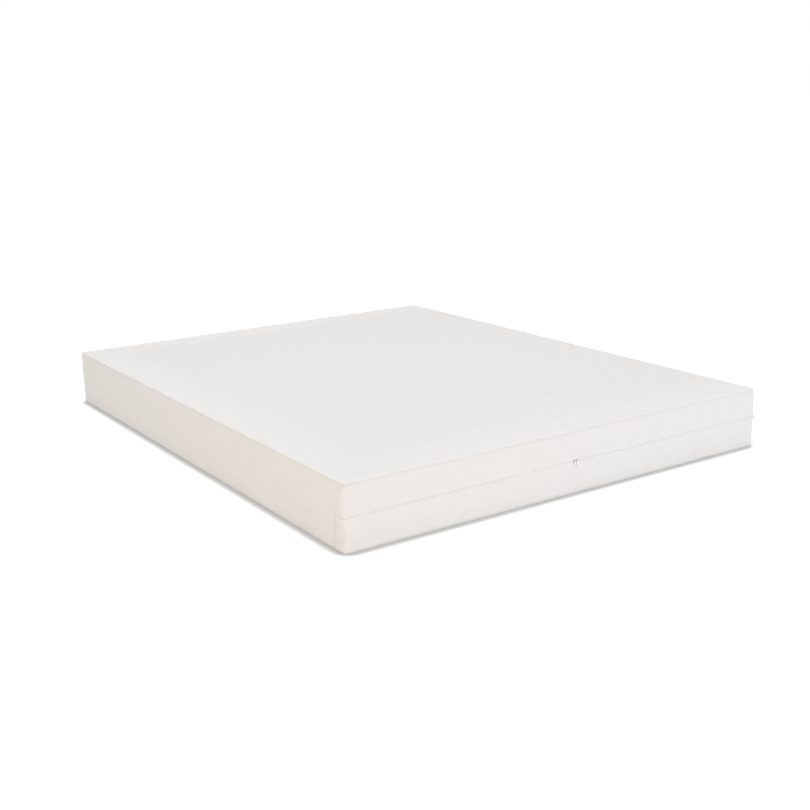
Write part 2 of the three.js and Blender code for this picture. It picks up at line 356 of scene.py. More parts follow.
# %% [markdown]
# ### Woven tape and sewing thread
# Zip tape is a narrow woven polyester ribbon with a herringbone rib about 0.9 mm wide. Sewing thread is
# two plies twisted together, so it carries fine slanting stripes. Each rib is a bump, and its colour is
# painted darker in the grooves between ribs: painted shade.

# %% Tape and thread


def striped(name, light, shade, pitch, slant, roughness):
    """A thread or tape with ribs: a sine of the distance along the piece plus slant times across it."""
    material, tree, shader = new_material(name, Roughness=roughness, Specular_IOR_Level=0.35)
    cloth_map = add_node(tree, "ShaderNodeUVMap", uv_map="cloth").outputs["UV"]
    turned = add_node(tree, "ShaderNodeVectorMath", {0: cloth_map, 1: (1.0, slant, 0.0)},
                      operation="DOT_PRODUCT").outputs["Value"]
    rib_and_painted_shade = maths(tree, "SINE", maths(tree, "MULTIPLY", turned, 2 * math.pi / pitch))
    # painted shade: the colour is darker in the grooves between the ribs
    tone = maths(tree, "MULTIPLY_ADD", rib_and_painted_shade, 0.5, 0.5)
    feed(shader, Base_Color=between(tree, tone, shade, light), Normal=bumps(tree, tone, 0.4, pitch / 5))
    return material


woven_tape = striped("woven polyester zip tape", "#e6e2d9", "#cfc9bd", 0.9 * MM, 1.0, 0.85)
sewing_thread = striped("ivory polyester sewing thread", "#f0eee9", "#dcd8d0", 0.5 * MM, 1.4, 0.6)
print("tape and thread ready")

# %% [markdown]
# ### Nylon coil
# The teeth are one coiled nylon thread, heat set: smooth, slightly see-through, gently glossy. A low
# roughness and a little light carried under the surface give that, with a faint unevenness from the dye.

# %% Nylon
nylon, tree, shader = new_material(
    "heat-set nylon coil", Roughness=0.38, IOR=1.53, Subsurface_Weight=0.15, Subsurface_Scale=0.4 * MM)
dye = noise(tree, object_place(tree), 600.0, 2.0)
feed(shader, Base_Color=between(tree, dye, "#d9d4c8", "#e7e3da"))
print("nylon ready")

# %% [markdown]
# ### Nickel plate
# Sliders and pulls are die-cast zinc, tumbled and plated with nickel. The plate follows the casting's
# slightly pebbled skin, so its gloss is uneven: a metal with roughness that drifts, and a very fine bump.
# The pulls' plate is painted much lighter than the sliders': painted light, so the pulls read pale.

# %% Plated zinc


def plated(name, light, shade, roughness, grain):
    """Plated die-cast zinc: noise at the grain size drives the tone, the roughness and a fine bump."""
    material, tree, shader = new_material(name, Metallic=1.0)
    place = object_place(tree)
    skin = noise(tree, place, 1 / grain, 3.0)
    wear = noise(tree, place, 0.12 / grain, 2.0)
    gloss = ranged(tree, wear, 0.0, 1.0, roughness - 0.07, roughness + 0.09)
    feed(shader, Base_Color=between(tree, wear, shade, light), Roughness=gloss,
         Normal=bumps(tree, skin, 0.25, 0.03 * MM))
    return material


slider_plate = plated("die-cast zinc, dull nickel plate", "#cfcdc8", "#bdbbb6", 0.42, 0.25 * MM)
# painted light: the pulls' nickel is painted far lighter than the sliders'
pull_plate_painted_light = plated("die-cast zinc, satin nickel plate", "#f1efeb", "#e5e3df", 0.55, 0.25 * MM)
print("metal ready")

# %% [markdown]
# ### Foam
# Cut polyurethane foam is a mass of open cells. Slow-recovery foam has fine cells, about 0.5 mm, and the
# support foam coarser ones. A cell pattern in three dimensions needs no map, so a cut face shows cells cut
# open, as the real slab does. It is drawn at about three times its real size so that it shows at all.

# %% Foam finishes


def foam(name, light, shade, cell):
    """Open-cell foam: distance from each cell's middle makes a pit in each cell and also darkens it, a
    painted shade; slow noise varies the colour.
    """
    material, tree, shader = new_material(name, Roughness=1.0, Specular_IOR_Level=0.1, Sheen_Weight=0.1)
    place = object_place(tree)
    cell_pit_and_painted_shade = add_node(tree, "ShaderNodeTexVoronoi", {"Vector": place, "Scale": 1 / cell}).outputs["Distance"]
    batch = noise(tree, place, 12.0, 3.0)
    # painted shade: the colour is darker in the pit of each cell
    tone = maths(tree, "MULTIPLY_ADD", batch, 0.4, maths(tree, "MULTIPLY_ADD", cell_pit_and_painted_shade, 0.6, 0.1), clamp=True)
    feed(shader, Base_Color=between(tree, tone, shade, light), Normal=bumps(tree, cell_pit_and_painted_shade, 0.7, cell / 2))
    return material


memory_foam = foam("slow-recovery polyurethane foam", "#f3edd9", "#ddd3b4", 1.5 * MM)
comfort_foam = foam("soft polyurethane foam", "#f7f6f2", "#dfddd6", 2.0 * MM)
support_foam = foam("firm polyurethane foam", "#e0e4e7", "#bfc5ca", 2.6 * MM)
print("foams ready")

# %% [markdown]
# ## How the top cloth lies
# A panel of cloth sewn a few millimetres larger than the foam under it never lies dead flat: it settles
# into shallow swellings. That is a job for cloth simulation. A flat sheet, pinned along its seams and cut
# a touch too large, falls on to a flat slab. Only its small heights are kept, and the panel takes them.

# %% Let a sheet settle
settle_step = 20 * MM
settle_x = np.arange(-half_width + edge, half_width - edge + settle_step / 2, settle_step)
settle_y = np.arange(-half_length + edge, half_length - edge + settle_step / 2, settle_step)


def settle(frames, spare, seed):
    """Heights of a sheet that has settled on a flat slab, as an array over settle_x and settle_y.

    The sheet starts on a grid with a millimetre of seeded unevenness and is cut larger by the given
    share. Its edge is pinned, it falls for some frames, and the heights less their mean are kept."""
    x, y = np.meshgrid(settle_x, settle_y, indexing="ij")
    rise = 2.5 * MM + 1.0 * MM * wander(x, y, 0.35, seed)
    sheet = make_object("settling_sheet", np.stack([x, y, rise], axis=2), grid_faces(*x.shape))
    slab = make_object("settling_slab", square * (1.0, 1.2, 1.0), [[0, 1, 2, 3]])
    slab.modifiers.new("Collision", "COLLISION")
    slab.collision.thickness_outer = 0.5 * MM
    pins = sheet.vertex_groups.new(name="seam")
    on_edge = (np.abs(x) > settle_x[-1] - MM) | (np.abs(y) > settle_y[-1] - MM)
    on_edge = on_edge | (x < settle_x[0] + MM) | (y < settle_y[0] + MM)
    pins.add(np.flatnonzero(on_edge.ravel()).tolist(), 1.0, "REPLACE")
    falling = sheet.modifiers.new("Cloth", "CLOTH")
    knit_settings = {"vertex_group_mass": "seam", "quality": 4, "mass": 0.35, "tension_stiffness": 25,
                     "compression_stiffness": 25, "bending_stiffness": 4, "shrink_min": -spare}
    for setting, value in knit_settings.items():
        setattr(falling.settings, setting, value)
    falling.collision_settings.distance_min = 0.6 * MM
    falling.collision_settings.use_self_collision = False
    falling.point_cache.frame_end = frames
    scene = bpy.context.scene
    for number in range(1, frames + 1):
        scene.frame_set(number)
    shape = sheet.evaluated_get(bpy.context.evaluated_depsgraph_get()).to_mesh()
    places = np.empty(len(shape.vertices) * 3, dtype=np.float32)
    shape.vertices.foreach_get("co", places)
    bpy.data.objects.remove(sheet)
    bpy.data.objects.remove(slab)
    scene.frame_set(1)
    heights = places.reshape(*x.shape, 3)[:, :, 2].astype(float)
    return heights - heights.mean()


lie = settle(frames=24, spare=0.004, seed=5)
print(f"the sheet settled between {lie.min() / MM:.2f} and {lie.max() / MM:.2f} mm of its mean")

# %% Read the settled heights anywhere


def settled_height(x, y):
    """The settled sheet's height at any place, by straight-line blending between its four neighbours."""
    column = np.clip((x - settle_x[0]) / settle_step, 0, len(settle_x) - 1.001)
    row = np.clip((y - settle_y[0]) / settle_step, 0, len(settle_y) - 1.001)
    i = column.astype(int)
    j = row.astype(int)
    fx = column - i
    fy = row - j
    low = lie[i, j] * (1 - fx) + lie[i + 1, j] * fx
    high = lie[i, j + 1] * (1 - fx) + lie[i + 1, j + 1] * fx
    return low * (1 - fy) + high * fy


# %% [markdown]
# ## The top and bottom panels
# Each panel is one sheet that rolls over the mattress's edge and is turned in at its seam. A plain grid
# can't follow a rounded corner, so its outermost lines are bent. Inside the corner block, a square ring of
# the grid becomes a quarter circle of the same number of points, and the rest of the grid stays straight.

# %% Panel shape
seam_roll = 0.5 * MM
quarter = np.radians([0, 30, 60, 90])
crown_rise = 1.6 * MM
crown_reach = 0.35
held_reach = 60 * MM
line_gap = 20 * MM


def rim_profile(depth):
    """The panel's edge in section, from its turned-in end to the flat, as insets and drops.

    depth is how far under the outer face the line runs, so the same words give both faces of the
    cloth: a short turned-in part, a quarter circle of the seam roll, then a quarter ellipse."""
    drop_end = edge - seam_gap / 2 - depth * 0.02
    roll_inset = seam_roll * (1 - np.sin(quarter)) + depth
    roll_drop = drop_end - seam_roll * (1 - np.cos(quarter)) - depth
    lift = np.radians(np.linspace(0, 90, 13)[1:])
    edge_inset = depth + (edge - depth) * (1 - np.cos(lift))
    edge_drop = depth + (roll_drop[-1] - depth) * (1 - np.sin(lift))
    turned = np.array([cloth + 0.4 * MM])
    level = edge + (corner - edge) * np.array([0.35, 0.7, 1])
    inset = np.concatenate([turned, roll_inset, edge_inset, level])
    drop = np.concatenate([[drop_end], roll_drop, edge_drop, [depth, depth, depth]])
    return inset, drop


def lattice(inset, drop):
    """Places on a panel as arrays over its grid: x, y, drop and the unrolled distances for the UV map.

    The outermost lines are the rim profile, and evenly spaced lines fill the middle. In a corner block
    the smaller of the two line numbers picks the circle, and how deep both lie picks the angle on it."""
    last = len(inset) - 1
    unrolled = np.concatenate([[0], np.cumsum(np.hypot(np.diff(inset), np.diff(drop)))])
    unrolled = unrolled[-1] - unrolled

    def lines(half):
        straight = half - corner
        middle = np.linspace(-straight, straight, round(2 * straight / line_gap) + 1)[1:-1]
        place = np.concatenate([-(half - inset), middle, (half - inset)[::-1]])
        flat = np.concatenate([-(straight + unrolled), middle, (straight + unrolled)[::-1]])
        number = np.minimum(np.arange(len(place)), np.arange(len(place))[::-1])
        return place, flat, np.minimum(number, last), np.sign(place)

    place_x, flat_x, line_x, hand_x = lines(half_width)
    place_y, flat_y, line_y, hand_y = lines(half_length)
    kx, ky = np.meshgrid(line_x, line_y, indexing="ij")
    nearest = np.minimum(kx, ky)
    a = (last - kx) / last
    b = (last - ky) / last
    share = np.minimum(a, b) / np.maximum(np.maximum(a, b), 1e-9)
    angle = np.where(a >= b, share * math.pi / 4, math.pi / 2 - share * math.pi / 4)
    radius = corner - inset[nearest]
    in_corner = (kx < last) & (ky < last)
    round_x = hand_x[:, None] * (half_width - corner + radius * np.cos(angle))
    round_y = hand_y[None, :] * (half_length - corner + radius * np.sin(angle))
    x = np.where(in_corner, round_x, place_x[:, None])
    y = np.where(in_corner, round_y, place_y[None, :])
    uv = np.stack(np.meshgrid(flat_x, flat_y, indexing="ij"), axis=2)
    return x, y, drop[nearest], uv


def panel(name, side):
    """A panel as an outer and an inner sheet that share their turned-in edge; side is +1 for the top."""
    sheets = []
    maps = []
    for depth in (0.0, cloth - 0.2 * MM):
        x, y, drop, uv = lattice(*rim_profile(depth))
        if side > 0:
            edge_distance = np.minimum(half_width - np.abs(x), half_length - np.abs(y))
            held = ease((edge_distance - edge) / held_reach)
            crown = crown_rise * ease(edge_distance / crown_reach)
            z = height - drop + held * settled_height(x, y) + crown * ease((edge_distance - edge / 3) / edge)
        else:
            z = drop
        sheets.append(np.stack([x, y, z], axis=2))
        maps.append(uv)
    rows, columns = sheets[0].shape[:2]
    faces = grid_faces(rows, columns) + grid_faces(rows, columns, first=rows * columns)
    return make_object(name, np.stack(sheets), faces, np.stack(maps))


top_cloth = panel("top_cloth", +1)
bottom_cloth = panel("bottom_cloth", -1)
panels = ((top_cloth, "top_panel", panel_knit_painted_shade), (bottom_cloth, "bottom_panel", under_knit))
for piece, node, finish in panels:
    piece.data.materials.append(finish)
    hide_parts(node)
    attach(piece, "mattress")
    print(piece.name, len(piece.data.polygons), "faces")

# %% [markdown]
# ## The plain borders
# A border is a strip of cloth that stands between the two panels. Its profile is a closed loop: up the
# outer face, round a tight roll at the upper seam, in to the turned-in allowance, down the back, and out
# again. It bellies out a little between its seams, and the stitches pucker it along both.

# %% Plain border shape
side_belly = 1.8 * MM
pucker_height = 0.22 * MM
pucker_pitch = 26 * MM
pucker_fade = 9 * MM
border_low = edge + seam_gap / 2
border_high = height - edge - seam_gap / 2


def belly(z, low, high, most):
    """How far cloth bellies out between two seams: most times one minus the fourth power."""
    across = np.clip(2 * (z - low) / (high - low) - 1, -1, 1)
    return most * (1 - across ** 4)


def pucker(walked, z, seed):
    """Small folds that stand square to the two seams and mostly die away within 20 mm of them."""
    near = np.exp(-np.abs(z - border_low) / pucker_fade) + np.exp(-np.abs(border_high - z) / pucker_fade)
    return pucker_height * near * wander(walked, 0 * z, pucker_pitch, seed)


def strip_loop(low, high, step):
    """A strip's closed profile: insets, heights, and how much each point may move outwards, 0 to 1."""
    face = spaced(low + seam_roll, step / 4, low + 3 * seam_roll, step, high - 3 * seam_roll, step / 4,
                  high - seam_roll)
    roll_in = seam_roll * (1 - np.cos(quarter[1:]))
    roll_up = seam_roll * np.sin(quarter[1:])
    back = np.linspace(high, low, 5)
    inset = np.concatenate([0 * face, roll_in, cloth + 0 * back, roll_in[::-1]])
    z = np.concatenate([face, high - seam_roll + roll_up, back, (low + seam_roll - roll_up)[::-1]])
    free = np.concatenate([1 + 0 * face, 1 - roll_in / seam_roll, 0 * back, 1 - roll_in[::-1] / seam_roll])
    return inset, z, free


def plain_border(name, walked, end, seed):
    """A strip of cloth along the outline with its belly, its puckers and a slow unevenness."""
    inset, z, free = strip_loop(border_low, border_high, 8 * MM)
    place = walked[:, None]
    out = belly(z, border_low, border_high, side_belly)[None, :]
    out = out + pucker(place, z[None, :], seed)
    out = out + 0.45 * MM * wander(place, z[None, :], 0.22, seed + 1) * ease((z - border_low) / 0.03)
    ends = ease((walked - walked[0]) / (25 * MM)) * ease((walked[-1] - walked) / (25 * MM))
    out = out * (0.35 + 0.65 * ends)[:, None] - 0.5 * MM * (1 - ends)[:, None] ** 6
    z_all = np.broadcast_to(z, (len(walked), len(z)))
    return carried(name, walked, inset - out * free, z_all, end)


fine = 1.5 * MM
coarse = 12 * MM
side_end = end_flat + arc_length + side_flat
side_walk = spaced(side_seam, fine, side_seam + 30 * MM, coarse, side_end - 20 * MM, 2 * MM, side_end)
head_turn = end_flat + arc_length - seam_gap
head_walk = spaced(-head_turn, fine, -end_flat + 8 * MM, coarse, end_flat - 8 * MM, fine, head_turn)
borders = {
    "left_border": plain_border("left_border_cloth", -side_walk[::-1], -1.0, 11),
    "right_border": plain_border("right_border_cloth", side_walk, -1.0, 21),
    "head_border": plain_border("head_border_cloth", head_walk, +1.0, 31),
}
for node, piece in borders.items():
    piece.data.materials.append(cover_knit)
    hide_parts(node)
    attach(piece, "mattress")

# %% [markdown]
# ## The zipped borders
# Along the foot end the border is split in two, and each half ends in a lip that rolls in over the zip.
# Behind the lip the cloth is doubled into the hem that the zip tape is sewn to. The zip is stiffer than
# cloth, so where it is bent round a corner it pushes the cloth out: a soft ridge, with a nose at the zip.

# %% Zipped border shape
slit_half = 0.05 * MM
leg_half = 0.65 * MM
lip_depth = 1.1 * MM
lip_height = 3.2 * MM
sliders_x = (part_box("zip_slider_left")[0][0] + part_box("zip_slider_right")[1][0]) / 2
sliders_half = (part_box("zip_slider_right")[1][0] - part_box("zip_slider_left")[0][0]) / 2
hem_low = 7.15 * MM
hem_high = 15.15 * MM
hem_step = 1.2 * MM
zip_belly = 1.3 * MM
corner_middle = end_flat + arc_length / 2


def corner_push(walked, z):
    """How far the bent zip pushes the cloth out near the two foot corners.

    A ridge rises steeply 13 to 28 mm from the side seam and dies away 60 mm along the foot end. It is
    higher above the zip than below. A nose, round in both directions, sits on the corner at the zip."""
    far = np.abs(walked)
    ridge = ease((side_seam - far - 13 * MM) / (15 * MM)) * (1 - ease((corner_middle - far) / (60 * MM)))
    ridge = ridge - 0.25 * np.exp(-((side_seam - far - 14 * MM) / (7 * MM)) ** 2)
    above = ease((z - zip_z) / (24 * MM) + 0.5)
    left = walked < 0
    high = np.where(left, 4.6, 0.8) * MM
    low = np.where(left, 2.4, 0.6) * MM
    nose = np.where(left, 3.6, 7.0) * MM
    shape = ridge * (low + (high - low) * above)
    seams = ease((z - border_low) / (16 * MM)) * ease((border_high - z) / (16 * MM))
    spot = np.exp(-((far - corner_middle) / (14 * MM)) ** 2)
    spot = spot * np.exp(-((z - zip_z + 2 * MM) / (9 * MM)) ** 2)
    return shape * seams + nose * spot


def zipped_belly(walked, z):
    """How far the outer face of a zipped border stands out, away from its rolled lip."""
    off = np.abs(z - zip_z)
    above = z > zip_z
    high = np.where(above, border_high, border_low)
    out = belly(z, np.where(above, zip_z, border_low), np.where(above, border_high, zip_z), zip_belly)
    out = out + pucker(walked, z, 41)
    out = out + 0.35 * MM * wander(walked, z, 0.2, 42) * ease(off / (25 * MM)) * ease(
        np.abs(high - z) / (20 * MM))
    lip = np.exp(-((off - 7 * MM) / (6 * MM)) ** 2)
    out = out + lip * MM * np.where(above, -0.1, 0.25) * (1 + 0.5 * wander(walked, 0 * z, 90 * MM, 43))
    return out + corner_push(walked, z)


def parted(walked):
    """How much farther each lip stands off where the sliders' legs part the lips, easing in over 5 mm."""
    return (leg_half - slit_half) * ease((sliders_half + 4 * MM - np.abs(walked - sliders_x)) / (5 * MM))


def zip_loop(side):
    """A zipped border's closed profile on one side of the zip: heights off the zip, insets, freedom.

    The slit runs straight out, the lip rolls back on a quarter ellipse, the face runs to the seam and is
    turned in, and the back comes down to the hem, which stands a little deeper, and ends behind the lip."""
    top = (border_high - zip_z) if side > 0 else (zip_z - border_low)
    bend = np.radians(np.linspace(0, 90, 9))
    lip_inset = np.concatenate([[cloth - 0.2 * MM, 2 * MM], lip_depth * (1 - np.sin(bend))])
    lip_off = np.concatenate([[slit_half, slit_half], slit_half + lip_height * (1 - np.cos(bend))])
    face = spaced(slit_half + lip_height, 2 * MM, 24 * MM, 5 * MM, top - 5 * MM, 1.2 * MM, top - seam_roll)
    roll_in = seam_roll * (1 - np.cos(quarter[1:]))
    roll_off = top - seam_roll + seam_roll * np.sin(quarter[1:])
    back_off = np.array([top, hem_high + 1 * MM, hem_high, hem_high - 0.4 * MM, hem_low + 0.4 * MM, hem_low,
                         hem_low - 0.8 * MM, slit_half + 0.6 * MM])
    hem = cloth + hem_step
    back_inset = np.array([cloth, cloth, hem - 0.3 * MM, hem, hem, hem - 0.3 * MM, cloth, cloth + 0.05 * MM])
    off = np.concatenate([lip_off, face[1:], roll_off, back_off])
    inset = np.concatenate([lip_inset, 0 * face[1:], roll_in, back_inset])
    lip_free = np.clip(1 - lip_inset / lip_depth, 0, 1)
    free = np.concatenate([lip_free, 1 + 0 * face[1:], 1 - roll_in / seam_roll, 0 * back_off])
    return off, inset, free


def zipped_border(name, side):
    """One half of the border along the foot end and round both its corners."""
    walked = spaced(-side_seam, 1.2 * MM, -end_flat + 45 * MM, 6 * MM, sliders_x - 20 * MM, 1 * MM,
                    sliders_x + 20 * MM, 6 * MM, end_flat - 45 * MM, 1.2 * MM, side_seam)
    off, inset, free = zip_loop(side)
    place = walked[:, None]
    z = zip_z + side * (off + parted(place) * np.exp(-off / (3 * MM)))
    out = zipped_belly(place, z)
    nose_part = corner_push(place, z)
    ends = (ease((walked + side_seam) / (12 * MM)) * ease((side_seam - walked) / (12 * MM)))[:, None]
    out = out * ends - 0.6 * MM * (1 - ends) ** 4
    moved = inset - out * free - 0.75 * nose_part * (1 - free) * (off < hem_low)
    return carried(name, walked, moved, z)


for name, node, side in (("zip_border_cloth_upper", "zip_border_upper", +1),
                         ("zip_border_cloth_lower", "zip_border_lower", -1)):
    piece = zipped_border(name, side)
    piece.data.materials.append(cover_knit)
    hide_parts(node)
    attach(piece, "mattress")

# %% [markdown]
# ## Topstitching
# A row of stitches holds each hem to its tape. One stitch is 3.2 mm of thread that dives into the cloth
# at both ends, so it is a short fat bow: a circle carried along a shallow arch and pinched at its ends.
# There are hundreds, so each has few faces and all of a row are worked out as one array.

# %% Stitches
stitch_pitch = 4 * MM
stitch_length = 3.2 * MM
thread_radius = 0.22 * MM
stitch_off = 10.5 * MM
stitch_margin = 6 * MM


def stitch_row(name, side):
    """A row of stitches along the zip. A stitch's centre line is half a sine arch over the cloth, and
    its radius is the thread's times the square root of that arch, so it closes at both ends."""
    reach = side_seam - stitch_margin
    middles = np.arange(-reach, reach, stitch_pitch)
    along = np.linspace(0, 1, 7)
    around = np.radians(np.arange(6) * 60)
    arch = np.sin(math.pi * along)
    walked = (middles[:, None] + stitch_length * (along - 0.5))[:, :, None]
    thick = thread_radius * np.sqrt(np.maximum(arch, 0))[:, None]
    z_line = zip_z + side * stitch_off
    rise = zipped_belly(walked, z_line + 0 * walked) + (0.45 * arch - 0.25)[:, None] * thread_radius
    inset = -(rise + thick * np.cos(around))
    points = placed(walked, inset, z_line + thick * np.sin(around) + 0 * inset)
    stitch = np.array(grid_faces(len(along), len(around), wrap=True))
    first = np.arange(len(middles)) * len(along) * len(around)
    faces = (stitch[None] + first[:, None, None]).reshape(-1, 4)
    uv = np.stack([walked + 0 * inset, thread_radius * around + 0 * inset], axis=-1)
    return make_object(name, points, faces.tolist(), uv)


for name, side in (("topstitch_upper", +1), ("topstitch_lower", -1)):
    piece = stitch_row(name, side)
    piece.data.materials.append(sewing_thread)
    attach(piece, "mattress")
    print(piece.name, len(piece.data.polygons), "faces")

# %% [markdown]
# ## The zip
# Each half of the zip is a woven tape with a coil of nylon sewn along its edge. The tape is a thin closed
# strip. The coil is a true helix, flattened to fit behind the lips: a small circle carried along a path
# that winds round an ellipse while it walks along the outline.

# %% Tape and coil
tape_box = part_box("zip_tape_upper")
coil_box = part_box("zip_coil_upper")
tape_outer = 4.75 * MM
tape_inner = 5.35 * MM
coil_outer = 5.65 * MM
coil_inner = 7.25 * MM
coil_thread = 0.26 * MM
coil_pitch = 1.5 * MM
tape_walk = walk_to(tape_box[1][1])
coil_walk = walk_to(coil_box[1][1])


def zip_tape(name, side):
    """A thin strip with rounded edges, from beside the coil to under the hem."""
    near = tape_box[0][2] - zip_z
    far = tape_box[1][2] - zip_z
    bend = np.radians(np.linspace(0, 180, 7))
    half = (tape_inner - tape_outer) / 2
    off = np.concatenate([far - half + half * np.sin(bend), near + half - half * np.sin(bend)])
    inset = tape_outer + half + half * np.concatenate([-np.cos(bend), np.cos(bend)])
    walked = spaced(-tape_walk, fine, -end_flat, 20 * MM, end_flat, fine, tape_walk)
    z = zip_z + side * np.broadcast_to(off, (len(walked), len(off)))
    return carried(name, walked, np.broadcast_to(inset, z.shape), z)


def zip_coil(name, side):
    """A flattened helix: the thread's middle winds round an ellipse once for each coil_pitch of walk."""
    turns = round(2 * coil_walk / coil_pitch)
    wound = np.linspace(0, 2 * math.pi * turns, 8 * turns + 1)
    walked = np.linspace(-coil_walk + coil_thread, coil_walk - coil_thread, len(wound))
    near = coil_box[0][2] - zip_z
    far = coil_box[1][2] - zip_z
    deep = (coil_inner - coil_outer) / 2 - coil_thread
    tall = (far - near) / 2 - coil_thread
    around = np.radians([45, 135, 225, 315])[None, :]
    inset = (coil_outer + coil_inner) / 2 + np.cos(wound)[:, None] * (deep + coil_thread * np.cos(around))
    off = (near + far) / 2 + np.sin(wound)[:, None] * (tall + coil_thread * np.cos(around))
    points = placed(walked[:, None] + coil_thread * np.sin(around), inset, zip_z + side * off)
    faces = grid_faces(len(wound), 4, wrap=True)
    faces.append([0, 1, 2, 3])
    faces.append([4 * len(wound) - 4 + corner_number for corner_number in range(4)])
    return make_object(name, points, faces)


for half_name, side in (("upper", +1), ("lower", -1)):
    tape = zip_tape(f"tape_{half_name}", side)
    tape.data.materials.append(woven_tape)
    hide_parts(f"zip_tape_{half_name}")
    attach(tape, "mattress")
    coil = zip_coil(f"coil_{half_name}", side)
    coil.data.materials.append(nylon)
    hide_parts(f"zip_coil_{half_name}")
    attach(coil, "mattress")
    print(tape.name, len(tape.data.polygons), coil.name, len(coil.data.polygons), "faces")

# %% [markdown]
# ## Metal parts
# The sliders, pulls and stops have their true shape in the CAD model, apart from the softness of a tumbled
# casting. A copy of each is merged, its flat faces are joined, and a small bevel rounds its edges.

# %% Finish the castings


def finished_copy(name, node, bevel, segments):
    """A merged copy of a CAD piece with every sharp edge rounded, which stands in for it."""
    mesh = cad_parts[node].data.copy()
    mesh.name = name
    mesh.materials.clear()
    work = bmesh.new()
    work.from_mesh(mesh)
    bmesh.ops.remove_doubles(work, verts=work.verts, dist=1e-6)
    bmesh.ops.dissolve_limit(work, angle_limit=math.radians(1), verts=work.verts, edges=work.edges)
    for face in work.faces:
        face.smooth = True
    work.to_mesh(mesh)
    work.free()
    piece = put_in_scene(name, mesh)
    rounding = piece.modifiers.new("Bevel", "BEVEL")
    rounding.width = bevel
    rounding.segments = segments
    rounding.limit_method = "ANGLE"
    rounding.angle_limit = math.radians(35)
    rounding.harden_normals = True
    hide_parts(node)
    return piece


casting_bevel = 0.18 * MM
castings = []
for hand in ("left", "right"):
    castings.append(("slider", hand, f"slider_{hand}", slider_plate, "cast_zinc"))
    castings.append(("pull", hand, f"pull_{hand}", pull_plate_painted_light, "satin_nickel"))
    castings.append(("stop", hand, "mattress", slider_plate, "cast_zinc"))
for kind, hand, body, finish, slot in castings:
    piece = finished_copy(f"{kind}_casting_{hand}", f"zip_{kind}_{hand}", casting_bevel, 2)
    piece.data.materials.append(finish)
    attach(piece, body)
    print(piece.name, len(piece.data.polygons), "faces before the bevel")

# %% [markdown]
# ## Foam and sleeve
# Mattress foam is cut by a hot wire or a blade, so its edges are crisp and only worn soft by handling.
# Copies of the CAD slabs with a narrow bevel are the right shape. None of them shows until the cover is
# unzipped, but they carry their true finishes.

# %% Foam slabs
foam_bevel = 0.12 * MM
slabs = (
    ("support_foam_block", "support_foam_core", support_foam, "support_foam"),
    ("transition_foam_block", "transition_foam_layer", comfort_foam, "comfort_foam"),
    ("memory_foam_block", "memory_foam_layer", memory_foam, "memory_foam"),
)
for name, node, finish, slot in slabs:
    piece = finished_copy(name, node, foam_bevel, 2)
    piece.data.materials.append(finish)
    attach(piece, "mattress")
    print(piece.name, len(piece.data.polygons), "faces before the bevel")

# %% [markdown]
# The sleeve is a knitted tube as wide round as the mattress. Its two open ends are folded over the ends of
# the foam and sewn shut, so it was cut as long as the mattress plus half its height at each end. Its knit
# needs a map. Each corner of each face takes the two coordinates that lie in its face.

# %% Sleeve
sleeve = finished_copy("stockinette_sleeve", "inner_sleeve", foam_bevel, 1)
sleeve.modifiers.clear()
sleeve.data.materials.append(stockinette)


def box_map(piece):
    """A UV map in metres from each face's main direction: level faces use x, y; upright ones use z."""
    mesh = piece.data
    places = np.empty(len(mesh.vertices) * 3, dtype=np.float32)
    mesh.vertices.foreach_get("co", places)
    points = np.empty(len(mesh.loops), dtype=np.int32)
    mesh.loops.foreach_get("vertex_index", points)
    facing = np.empty(len(mesh.polygons) * 3, dtype=np.float32)
    mesh.polygons.foreach_get("normal", facing)
    sizes = np.empty(len(mesh.polygons), dtype=np.int32)
    mesh.polygons.foreach_get("loop_total", sizes)
    main = np.abs(facing.reshape(-1, 3)).argmax(axis=1).repeat(sizes)
    x, y, z = places.reshape(-1, 3)[points].T
    u = np.where(main == 0, y, x)
    v = np.where(main == 2, y, z)
    while mesh.uv_layers:
        mesh.uv_layers.remove(mesh.uv_layers[0])
    mesh.uv_layers.new(name="cloth").data.foreach_set("uv", np.stack([u, v], axis=1).ravel())


box_map(sleeve)
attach(sleeve, "mattress")

# %% [markdown]
# ## The room
# A white studio sweep: a floor that glows and is so brightly lit that it prints as paper white. The floor
# glows a little more the farther it is from the mattress, so it meets the white background with no horizon.
# The thin contact shadow under the mattress is painted: under the mattress and just beyond it the floor
# hardly glows, and the glow comes back over some 35 mm. Light that bounces off the floor on to the cloth
# keeps most of that glow, so the painted shadow barely darkens the cloth, as if low lamps round the set
# filled the foot of each side. To the left that light is a little warmer.

# %% Floor
floor_reach = 60.0
near_glow = 0.54
more_glow = 0.35
shade_seen = 0.03
shade_bounced = 0.49
shade_turn = 40 * MM
shade_start = 3 * MM
shade_reach = 18 * MM
floor_points = square * floor_reach
floor_points[:, 2] = -0.2 * MM
floor = make_object("studio_floor", floor_points, [[0, 1, 2, 3]])
if floor.data.polygons[0].normal.z < 0:
    floor.data.flip_normals()
paper, tree, shader = new_material("seamless white paper, painted contact shadow", Roughness=0.9, Specular_IOR_Level=0.1)
spot = object_place(tree)
fibre = noise(tree, spot, 30.0, 4.0)
folded = add_node(tree, "ShaderNodeVectorMath", {0: spot}, operation="ABSOLUTE").outputs["Vector"]


def beyond(half_x, half_y):
    """How far the floor's spot lies outside a rectangle of these half sizes round the middle."""
    past = folded
    for operation, other in (("SUBTRACT", (half_x, half_y, 0.0)), ("MAXIMUM", (0.0, 0.0, 0.0))):
        past = add_node(tree, "ShaderNodeVectorMath", {0: past, 1: other}, operation=operation).outputs[0]
    return add_node(tree, "ShaderNodeVectorMath", {0: past}, operation="LENGTH").outputs["Value"]


